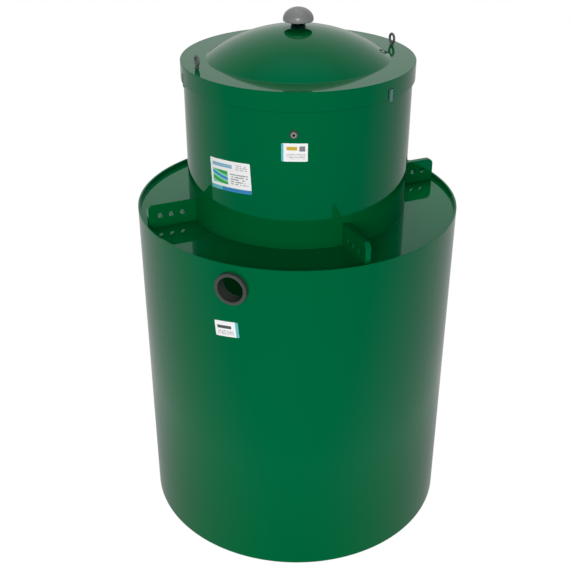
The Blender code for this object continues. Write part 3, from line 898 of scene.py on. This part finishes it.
def label_print(name):
    """A label's material: a pale film with plain fields of print laid one over another."""
    material = finish_material(name, "label_film")
    tree = material.node_tree
    base = tree.nodes["Principled BSDF"].inputs["Base Color"]
    color = base.links[0].from_socket
    place = add_node(tree, "UVMap", uv_map=PRINT_MAP).outputs["UV"]
    for ink, (left, right, bottom, top), *dashes in PRINTS[name]:
        mask = shared(tree, print_box, {
            "Vector": place, "Left": left, "Right": right, "Bottom": bottom, "Top": top})
        if dashes:
            rows, breaks = dashes
            broken = shared(tree, print_dashes, {"Vector": place, "Rows": rows, "Breaks": breaks})
            mask = maths(tree, "MULTIPLY", broken, mask)
        laid = hill_bands(tree, place) if ink is HILLS else (*ink, 1.0)
        color = add_node(tree, "Mix", {"Factor": mask, 6: color, 7: laid},
                         data_type="RGBA").outputs[2]
    tree.links.new(color, base)
    return material


def material_of(finish):
    """The material of a finish or a print, which is built at its first use."""
    if finish in bpy.data.materials:
        return bpy.data.materials[finish]
    return label_print(finish) if finish in PRINTS else finish_material(finish)


class TANK_OT_wall(bpy.types.Operator):
    """Build the round wall with its rounded rim and foot and its two port holes"""
    bl_idname = "septic_tank.wall"
    bl_label = "Tank wall"

    def execute(self, context):
        detail = context.scene.tank_detail
        edge = detail.edge_round
        wall = spun(rounded((
            (TANK_RADIUS, 0.0, edge), (TANK_RADIUS, RIM_TOP, edge),
            (TANK_BORE, RIM_TOP, edge), (TANK_BORE, 0.0, 0.0))), detail.big_steps)
        holes = [radial_bar(PIPE_RADIUS, port, PIPE_BACK, TANK_RADIUS + CUT_PAST,
                            detail.small_steps) for port in (INLET, OUTLET)]
        place_green("tank_wall_sheet", combined(wall, holes), "tank", "tank_wall")
        return {"FINISHED"}


class TANK_OT_floor_and_deck(bpy.types.Operator):
    """Build the round floor, and the deck ring with its weld at the wall"""
    bl_idname = "septic_tank.floor_and_deck"
    bl_label = "Floor and deck"

    def execute(self, context):
        detail = context.scene.tank_detail
        floor = spun(outline((0.0, BASE_TOP), (TANK_BORE, BASE_TOP), (TANK_BORE, BASE_FOOT),
                             (0.0, BASE_FOOT)), detail.big_steps, closed=False)
        place_green("floor_sheet", floor, "tank", "base_plate")
        weld_top = DECK_TOP + 2 * WELD_RADIUS
        deck = spun(rounded((
            (NECK_BORE, DECK_BOTTOM, detail.edge_round), (NECK_BORE, DECK_TOP, 0.0),
            (TANK_BORE, DECK_TOP, WELD_RADIUS), (TANK_BORE, weld_top, 0.0),
            (TANK_BORE + DECK_LAP, weld_top, 0.0),
            (TANK_BORE + DECK_LAP, DECK_BOTTOM, 0.0))), detail.big_steps)
        place_green("deck_sheet", deck, "tank", "deck_plate")
        return {"FINISHED"}


class TANK_OT_neck(bpy.types.Operator):
    """Build the access neck with its weld on the deck and its gland hole"""
    bl_idname = "septic_tank.neck"
    bl_label = "Access neck"

    def execute(self, context):
        detail = context.scene.tank_detail
        edge = detail.edge_round
        weld_reach = NECK_RADIUS + 2 * WELD_RADIUS
        neck = spun(rounded((
            (weld_reach, DECK_TOP - WELD_LAP, 0.0),
            (NECK_RADIUS, DECK_TOP, WELD_RADIUS), (NECK_RADIUS, NECK_TOP, edge),
            (NECK_BORE, NECK_TOP, edge), (NECK_BORE, DECK_TOP - NECK_LAP, 0.0),
            (weld_reach, DECK_TOP - NECK_LAP, 0.0))), detail.big_steps)
        hole = radial_bar(GLAND_HOLE_RADIUS, GLAND, NECK_RADIUS - CUT_PAST,
                          NECK_RADIUS + CUT_PAST, BORE_STEPS)
        place_green("neck_sheet", combined(neck, [hole]), "tank", "neck_wall")
        return {"FINISHED"}


class TANK_OT_lugs(bpy.types.Operator):
    """Build the four lifting lugs with their holes and welds"""
    bl_idname = "septic_tank.lugs"
    bl_label = "Lifting lugs"

    def execute(self, context):
        for number, angle in enumerate(LUG_ANGLES, 1):
            place_green(f"lifting_lug_plate_{number}", lug_shape(angle), "tank",
                        f"lifting_lug_{number}")
        return {"FINISHED"}


class TANK_OT_ports(bpy.types.Operator):
    """Build the short pipes and the rubber seals of the inlet and the outlet"""
    bl_idname = "septic_tank.ports"
    bl_label = "Pipe ports"

    def execute(self, context):
        detail = context.scene.tank_detail
        steps = detail.small_steps * 2
        for name, port in (("inlet", INLET), ("outlet", OUTLET)):
            place = radial_matrix(*port)
            pipe = spun(rounded((
                (PIPE_RADIUS, PIPE_BACK, PIPE_EDGE), (PIPE_RADIUS, PIPE_FRONT, PIPE_EDGE),
                (PIPE_BORE, PIPE_FRONT, 2 * PIPE_EDGE), (PIPE_BORE, PIPE_BACK, PIPE_EDGE))),
                steps, matrix=place)
            place_piece(f"{name}_pipe_stub", pipe, "dark_grey_pipe", "tank", "grey_plastic",
                        f"{name}_pipe")
            seal = spun(rounded((
                (SEAL_BORE, SEAL_START, 0.0006), (SEAL_BORE, SEAL_FACE, 0.0028),
                (SEAL_RADIUS, SEAL_FACE, 0.0040), (SEAL_RADIUS, SEAL_BACK, 0.0),
                (PIPE_RADIUS, SEAL_BACK, 0.0), (PIPE_RADIUS, SEAL_START, 0.0))),
                steps, matrix=place)
            low, high = port[1] - SEAL_TRIM, port[1] + SEAL_TRIM
            trim = spun(outline((0.0, low), (SEAL_SEAT, low), (SEAL_SEAT, high), (0.0, high)),
                        detail.big_steps, closed=False)
            place_piece(f"{name}_seal_ring", combined(seal, [trim]), "dark_seal_rubber", "tank",
                        "seal_rubber", f"{name}_seal")
        return {"FINISHED"}


class TANK_OT_gland(bpy.types.Operator):
    """Build the plugged cable gland: washer, body, plug and the locknut inside"""
    bl_idname = "septic_tank.gland"
    bl_label = "Cable gland"

    def execute(self, context):
        place = radial_matrix(*GLAND)
        washer = spun(rounded((
            (GLAND_WASHER_RADIUS, GLAND_SEAT, 0.0004), (GLAND_WASHER_RADIUS, GLAND_FACE, 0.0007),
            (GLAND_HOLE_RADIUS, GLAND_FACE, 0.0004), (GLAND_HOLE_RADIUS, GLAND_SEAT, 0.0))),
            GLAND_STEPS, matrix=place)
        place_piece("gland_seal_washer", washer, "dark_seal_rubber", "tank", "black_plastic",
                    "gland_washer")

        head = rounded((
            (GLAND_RECESS_RADIUS, GLAND_RECESS, 0.0), (GLAND_RECESS_RADIUS, GLAND_FRONT, 0.0005),
            (GLAND_BODY_RADIUS - 0.0004, GLAND_FRONT, 0.0022),
            (GLAND_BODY_RADIUS, GLAND_FACE, 0.0)))
        shank = outline((GLAND_THREAD_RADIUS, GLAND_FACE),
                        (GLAND_THREAD_RADIUS, GLAND_THREAD_END + 0.001),
                        (GLAND_THREAD_RADIUS - 0.001, GLAND_THREAD_END),
                        (0.0, GLAND_THREAD_END), (0.0, GLAND_RECESS))
        flats = upright_bar(GLAND_FLATS_RADIUS, NECK_BORE - CUT_PAST, GLAND_FRONT + SHORT_PAST,
                            HEXAGON)
        body = moved(combined(spun(head + shank, GLAND_STEPS), [flats], "INTERSECT"), place)
        place_piece("gland_metal_body", body, "bright_plated_metal", "tank", "plain_steel",
                    "gland_body")

        plug = spun(rounded((
            (0.0, GLAND_RECESS - 0.0002, 0.0), (GLAND_PLUG_RADIUS, GLAND_RECESS - 0.0002, 0.0),
            (GLAND_PLUG_RADIUS, GLAND_FRONT - 0.0009, 0.0004),
            (0.0, GLAND_FRONT - 0.0005, 0.0))), GLAND_PLUG_STEPS, closed=False)
        slot = box_shape(GLAND_SLOT, (0.0, 0.0, GLAND_FRONT - 0.0006))
        place_piece("gland_blind_plug", moved(combined(plug, [slot]), place), "satin_black_plastic",
                    "tank", "black_plastic")

        nut = nut_shape(GLAND_WASHER_RADIUS, GLAND_NUT_BORE, GLAND_NUT_FACE - GLAND_NUT_HEIGHT,
                        GLAND_NUT_FACE, place)
        place_piece("gland_hexagon_nut", nut, "satin_black_plastic", "tank", "black_plastic",
                    "gland_locknut")
        return {"FINISHED"}


class TANK_OT_keys(bpy.types.Operator):
    """Build the three guide blocks that the lid's notches slip over"""
    bl_idname = "septic_tank.keys"
    bl_label = "Lid keys"

    def execute(self, context):
        for number, angle in enumerate(KEY_ANGLES, 1):
            key = box_shape((KEY_FACE - KEY_BACK, KEY_WIDTH, KEY_TOP - KEY_BOTTOM),
                            ((KEY_FACE + KEY_BACK) / 2, 0.0, (KEY_TOP + KEY_BOTTOM) / 2))
            bevel_sharp(key, KEY_EDGE, segments=4)
            place_piece(f"lid_guide_key_{number}", turned(key, angle), "blue_grey_zinc", "tank",
                        "plain_steel", f"lid_key_{number}")
        return {"FINISHED"}


class TANK_OT_labels(bpy.types.Operator):
    """Build the three thin printed labels"""
    bl_idname = "septic_tank.labels"
    bl_label = "Labels"

    def execute(self, context):
        for name, printed, *place in LABELS:
            place_piece(f"{name}_film", label_shape(*place), printed, "tank", "label_film", name)
        return {"FINISHED"}


class TANK_OT_lid(bpy.types.Operator):
    """Build the lid as one shell: skirt, flat ring and dome, with notches and bolt holes"""
    bl_idname = "septic_tank.lid"
    bl_label = "Lid shell"

    def execute(self, context):
        detail = context.scene.tank_detail
        edge = detail.edge_round
        thin = DOME_SPHERE - DOME_WALL
        outside = arc(DOME_SPHERE, DOME_SPHERE, DOME_CENTRE, math.asin(STEM_BORE / DOME_SPHERE),
                      math.acos((DOME_FOOT - DOME_CENTRE) / DOME_SPHERE), DOME_STEPS)
        inside = arc(thin, thin, DOME_CENTRE, math.asin(HATCH_RADIUS / thin),
                     math.asin(STEM_BORE / thin), DOME_STEPS)
        inner = LID_RADIUS - SKIRT_WALL
        ring = rounded((
            (outside[-1].x, outside[-1].z, 0.0),
            (DOME_RADIUS + 0.001, LID_TOP, detail.dome_fillet),
            (LID_RADIUS, LID_TOP, detail.lid_round), (LID_RADIUS, SKIRT_BOTTOM, edge),
            (inner, SKIRT_BOTTOM, edge), (inner, LID_UNDER, 0.0),
            (HATCH_RADIUS, LID_UNDER, 0.0)), 5)
        lid = spun(outside[:-1] + ring + inside, detail.big_steps)
        cuts = []
        tall = NOTCH_TOP - SKIRT_BOTTOM + CUT_PAST
        for angle in KEY_ANGLES:
            notch = box_shape((NOTCH_DEPTH, NOTCH_WIDTH, tall),
                              (LID_RADIUS, NOTCH_OFFSET, NOTCH_TOP - tall / 2))
            upper = [item for item in notch.edges
                     if all(vert.co.z > NOTCH_TOP - PICK for vert in item.verts)
                     and abs(item.verts[0].co.x - item.verts[1].co.x) > NOTCH_DEPTH / 3]
            bevel(notch, upper, NOTCH_CORNER, 4)
            cuts.append(turned(notch, angle))
        for angle in EYE_ANGLES:
            cuts.append(bar_shape(
                EYE_HOLE_RADIUS, outward(angle, EYE_PLACE, LID_UNDER - SHORT_PAST),
                outward(angle, EYE_PLACE, LID_TOP + SHORT_PAST), EYE_WIRE_STEPS))
        place_green("lid_shell", combined(lid, cuts), "lid", "lid_plate", "lid_skirt",
                    "lid_dome")
        return {"FINISHED"}


class TANK_OT_vent(bpy.types.Operator):
    """Build the vent's short tube with its windows, and its rounded cap"""
    bl_idname = "septic_tank.vent"
    bl_label = "Vent"

    def execute(self, context):
        detail = context.scene.tank_detail
        low = DOME_CROWN - STEM_LAP
        stem = spun(rounded((
            (STEM_FOOT_RADIUS, low, 0.0), (STEM_FOOT_RADIUS, DOME_CROWN + 0.0028, 0.0012),
            (STEM_RADIUS, DOME_CROWN + 0.0030, 0.0010), (STEM_RADIUS, FLARE_FOOT, 0.0),
            (FLARE_RADIUS, FLARE_TOP, 0.0008), (STEM_RADIUS, FLARE_TOP + 0.0025, 0.0),
            (STEM_RADIUS, STEM_TOP, 0.0008),
            (STEM_BORE, STEM_TOP, 0.0008), (STEM_BORE, low, 0.0))), detail.small_steps)
        middle = (0.0, 0.0, DOME_CROWN + WINDOW_MIDDLE)
        windows = [box_shape((WINDOW_LENGTH, WINDOW_WIDTH, WINDOW_HEIGHT), middle),
                   box_shape((WINDOW_WIDTH, WINDOW_LENGTH, WINDOW_HEIGHT), middle)]
        place_piece("vent_tube", combined(stem, windows), "satin_black_plastic", "lid",
                    "black_plastic", "vent_stem")

        inner = CAP_RADIUS - CAP_WALL
        outside = arc(CAP_RADIUS, CAP_RISE, CAP_WIDEST, 0.0, QUARTER, CAP_STEPS)
        inside = arc(inner, CAP_RISE - CAP_WALL, CAP_WIDEST, QUARTER,
                     math.asin(STEM_RADIUS / inner), CAP_STEPS)
        lip_bottom = CAP_WIDEST - CAP_LIP
        lip = rounded((
            (CAP_RADIUS, CAP_WIDEST, 0.0), (CAP_RADIUS - 0.0002, lip_bottom, 0.0017),
            (inner, lip_bottom, 0.0012), (inner, CAP_WIDEST, 0.0)))
        plug = STEM_BORE - 0.0003
        rest = STEM_TOP + 0.0002
        hub = outline((STEM_RADIUS, rest), (plug, rest), (plug, PLUG_BOTTOM), (0.0, PLUG_BOTTOM))
        cap = spun(outside[:-1] + lip + inside[1:] + hub, detail.small_steps * 2, closed=False)
        place_piece("vent_round_cap", cap, "satin_grey_cap", "lid", "grey_plastic", "vent_cap")
        return {"FINISHED"}


class TANK_OT_eye_bolts(bpy.types.Operator):
    """Build the two ring bolts on the lid, with their threads and nuts"""
    bl_idname = "septic_tank.eye_bolts"
    bl_label = "Eye bolts"

    def execute(self, context):
        for number, angle in enumerate(EYE_ANGLES, 1):
            base = Matrix.Translation(outward(angle, EYE_PLACE, 0.0))
            turn = Matrix.Rotation(math.radians(angle), 4, "Z")
            bolt = moved(bolt_shape(), base @ turn)
            place_piece(f"lid_ring_bolt_{number}", bolt, "dark_zinc_steel", "lid",
                        "plain_steel", f"lid_eye_bolt_{number}")
            nut = nut_shape(EYE_NUT_RADIUS, EYE_SHANK_RADIUS, LID_UNDER - EYE_NUT_HEIGHT,
                            EYE_NUT_FACE, base)
            place_piece(f"lid_ring_nut_{number}", nut, "dark_zinc_steel", "lid", "plain_steel",
                        f"lid_eye_nut_{number}")
        return {"FINISHED"}


class TANK_OT_stage(bpy.types.Operator):
    """Set up the pale floor, the soft light, the surroundings and the camera"""
    bl_idname = "septic_tank.stage"
    bl_label = "Stage, light and camera"

    def execute(self, context):
        scene = context.scene
        stage = scene.tank_stage
        scene.view_settings.view_transform = "Standard"
        scene.view_settings.use_curve_mapping = True
        curves = scene.view_settings.curve_mapping
        curves.black_level = (RED_LOSS, 0.0, 0.0)
        curves.update()

        bm = bmesh.new()
        bmesh.ops.create_grid(bm, x_segments=1, y_segments=1, size=FLOOR_SIZE)
        floor = linked("pale_floor", mesh_of(bm, "pale_floor"))
        floor.data.materials.append(floor_paint(stage))

        scene.world = studio_world(stage)

        soft_light("key_softbox", stage.key_power, stage.key_size,
                   CAMERA_AZIMUTH - stage.key_turn, stage.key_height)
        soft_light("back_softbox", stage.back_power, stage.key_size,
                   CAMERA_AZIMUTH + math.pi, stage.back_height)
        inside_light(stage.inside_power)
        glare_light(stage.glare)

        lens = bpy.data.cameras.new("camera")
        lens.lens = CAMERA_LENS
        lens.sensor_width = CAMERA_SENSOR
        camera = linked("camera", lens)
        camera.location = CAMERA_PLACE
        camera.rotation_euler = CAMERA_TURN
        scene.camera = camera
        return {"FINISHED"}


def hidden_lamp(name, kind, power):
    """A lamp that doesn't show in gloss."""
    light = bpy.data.lights.new(name, kind)
    light.energy = power
    lamp = linked(name, light)
    lamp.visible_glossy = False
    return lamp


def soft_light(name, power, size, azimuth, raised, shape="SQUARE"):
    """A large light far off, turned to the tank."""
    lamp = hidden_lamp(name, "AREA", power)
    lamp.data.shape = shape
    lamp.data.size = size
    way = Vector((math.cos(azimuth) * math.cos(raised), math.sin(azimuth) * math.cos(raised),
                  math.sin(raised)))
    lamp.location = LIGHT_AIM + LIGHT_DISTANCE * way
    lamp.rotation_euler = way.to_track_quat("Z", "Y").to_euler()
    return lamp


def glare_light(power):
    """A lamp beside the camera that only shines in the cap and the metal fittings."""
    lamp = soft_light("glare_lamp", power, GLARE_SIZE, CAMERA_AZIMUTH - GLARE_TURN,
                      GLARE_HEIGHT, "DISK")
    lamp.visible_glossy = True
    lamp.visible_diffuse = False
    shining = bpy.data.collections.new("shining_fittings")
    for name in SHINING:
        shining.objects.link(bpy.data.objects[name])
    lamp.light_linking.receiver_collection = shining


def inside_light(power):
    """A weak light inside the tank, in place of the daylight that its thin wall lets through."""
    glow = hidden_lamp("inside_glow", "POINT", power)
    glow.data.shadow_soft_size = INSIDE_SOFTNESS
    glow.location = (0.0, 0.0, INSIDE_HEIGHT)


def frontness(tree, direction):
    """0 behind the tank as the camera stands, rising to 1 in front of it."""
    level = add_node(tree, "VectorMath", {0: direction, 1: (1.0, 1.0, 0.0)},
                     operation="MULTIPLY").outputs[0]
    unit = add_node(tree, "VectorMath", {0: level}, operation="NORMALIZE").outputs[0]
    ahead = add_node(tree, "VectorMath", {
        0: unit, 1: (math.cos(CAMERA_AZIMUTH), math.sin(CAMERA_AZIMUTH), 0.0)},
        operation="DOT_PRODUCT").outputs["Value"]
    return spread(tree, ahead, -1.0, 1.0)


def by_ray(tree, matt, glossy, camera):
    """One of three brightnesses, as a matt surface, a glossy one or the camera looks."""
    path = add_node(tree, "LightPath").outputs
    fade = spread(tree, path["Glossy Depth"], 1.0, 2.0, 1.0, SECOND_MIRROR)
    faded = maths(tree, "MULTIPLY", glossy, fade)
    mirrored = spread(tree, path["Is Glossy Ray"], 0.0, 1.0, matt, faded)
    return spread(tree, path["Is Camera Ray"], 0.0, 1.0, mirrored, camera)


def glowing(tree, kind, output, strength):
    """Let a tree's output glow white, with a strength for each kind of ray."""
    glow = add_node(tree, kind, {"Color": WHITE, "Strength": strength})
    add_node(tree, output, {"Surface": glow.outputs[0]})


def floor_paint(stage):
    """Pale floor: white to the camera, bright in mirrors, and a soft light from below."""
    material = bpy.data.materials.new("pale_floor")
    material.use_nodes = True
    tree = material.node_tree
    tree.nodes.clear()
    place = add_node(tree, "TexCoord").outputs["Object"]
    front = frontness(tree, place)
    far = add_node(tree, "VectorMath", {0: place}, operation="LENGTH").outputs["Value"]
    bounce = stage.floor_bounce
    near = spread(tree, far, FLOOR_FOOT, BOUNCE_END, bounce, bounce * BOUNCE_FAR)
    side = spread(tree, front, 0.0, 1.0, bounce * BOUNCE_BACK, bounce * BOUNCE_FRONT)
    bend = maths(tree, "POWER", front, FRONT_BEND)
    behind = spread(tree, far, BACK_START, BACK_END, stage.mirror_back,
                    stage.mirror_back * BACK_GAIN)
    around = spread(tree, bend, 0.0, 1.0, behind, stage.mirror_front)
    shaded = spread(tree, far, FLOOR_FOOT, SHADE_END, SHADE_FOOT, 1.0)
    glowing(tree, "Emission", "OutputMaterial", by_ray(
        tree, maths(tree, "ADD", near, side), maths(tree, "MULTIPLY", around, shaded), 1.0))
    return material


def studio_world(stage):
    """Pale walls and ceiling that glossy surfaces mirror, and a weak fill."""
    world = bpy.data.worlds.new("studio")
    world.use_nodes = True
    tree = world.node_tree
    tree.nodes.clear()
    way = add_node(tree, "TexCoord").outputs["Generated"]
    height = add_node(tree, "SeparateXYZ", {"Vector": way}).outputs["Z"]
    walls = spread(tree, height, CEILING_START, CEILING_END, stage.surroundings, stage.ceiling)
    glowing(tree, "Background", "OutputWorld", by_ray(tree, stage.fill, walls, 1.0))
    return world


class TANK_PT_panel(bpy.types.Panel):
    """Lists the tank's operators and settings"""
    bl_idname = "TANK_PT_panel"
    bl_label = "Septic tank"
    bl_space_type = "VIEW_3D"
    bl_region_type = "UI"
    bl_category = "Tank"

    def draw(self, context):
        scene = context.scene
        for settings in (scene.tank_detail, scene.tank_finish, scene.tank_stage):
            box = self.layout.box()
            for name in settings.__annotations__:
                box.prop(settings, name)
        for operator in OPERATORS:
            self.layout.operator(operator.bl_idname)


SETTINGS = (
    ("tank_detail", TankDetail),
    ("tank_finish", TankFinish),
    ("tank_stage", StageLight),
)
OPERATORS = (
    TANK_OT_wall,
    TANK_OT_floor_and_deck,
    TANK_OT_neck,
    TANK_OT_lugs,
    TANK_OT_ports,
    TANK_OT_gland,
    TANK_OT_keys,
    TANK_OT_labels,
    TANK_OT_lid,
    TANK_OT_vent,
    TANK_OT_eye_bolts,
    TANK_OT_stage,
)


def register():
    for name, group in SETTINGS:
        bpy.utils.register_class(group)
        setattr(bpy.types.Scene, name, PointerProperty(type=group))
    for operator in OPERATORS:
        bpy.utils.register_class(operator)
    bpy.utils.register_class(TANK_PT_panel)


def unregister():
    bpy.utils.unregister_class(TANK_PT_panel)
    for operator in reversed(OPERATORS):
        bpy.utils.unregister_class(operator)
    for name, group in reversed(SETTINGS):
        delattr(bpy.types.Scene, name)
        bpy.utils.unregister_class(group)


def main():
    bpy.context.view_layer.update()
    register()
    for operator in OPERATORS:
        group, name = operator.bl_idname.split(".")
        getattr(getattr(bpy.ops, group), name)()


if __name__ == "__main__":
    main()
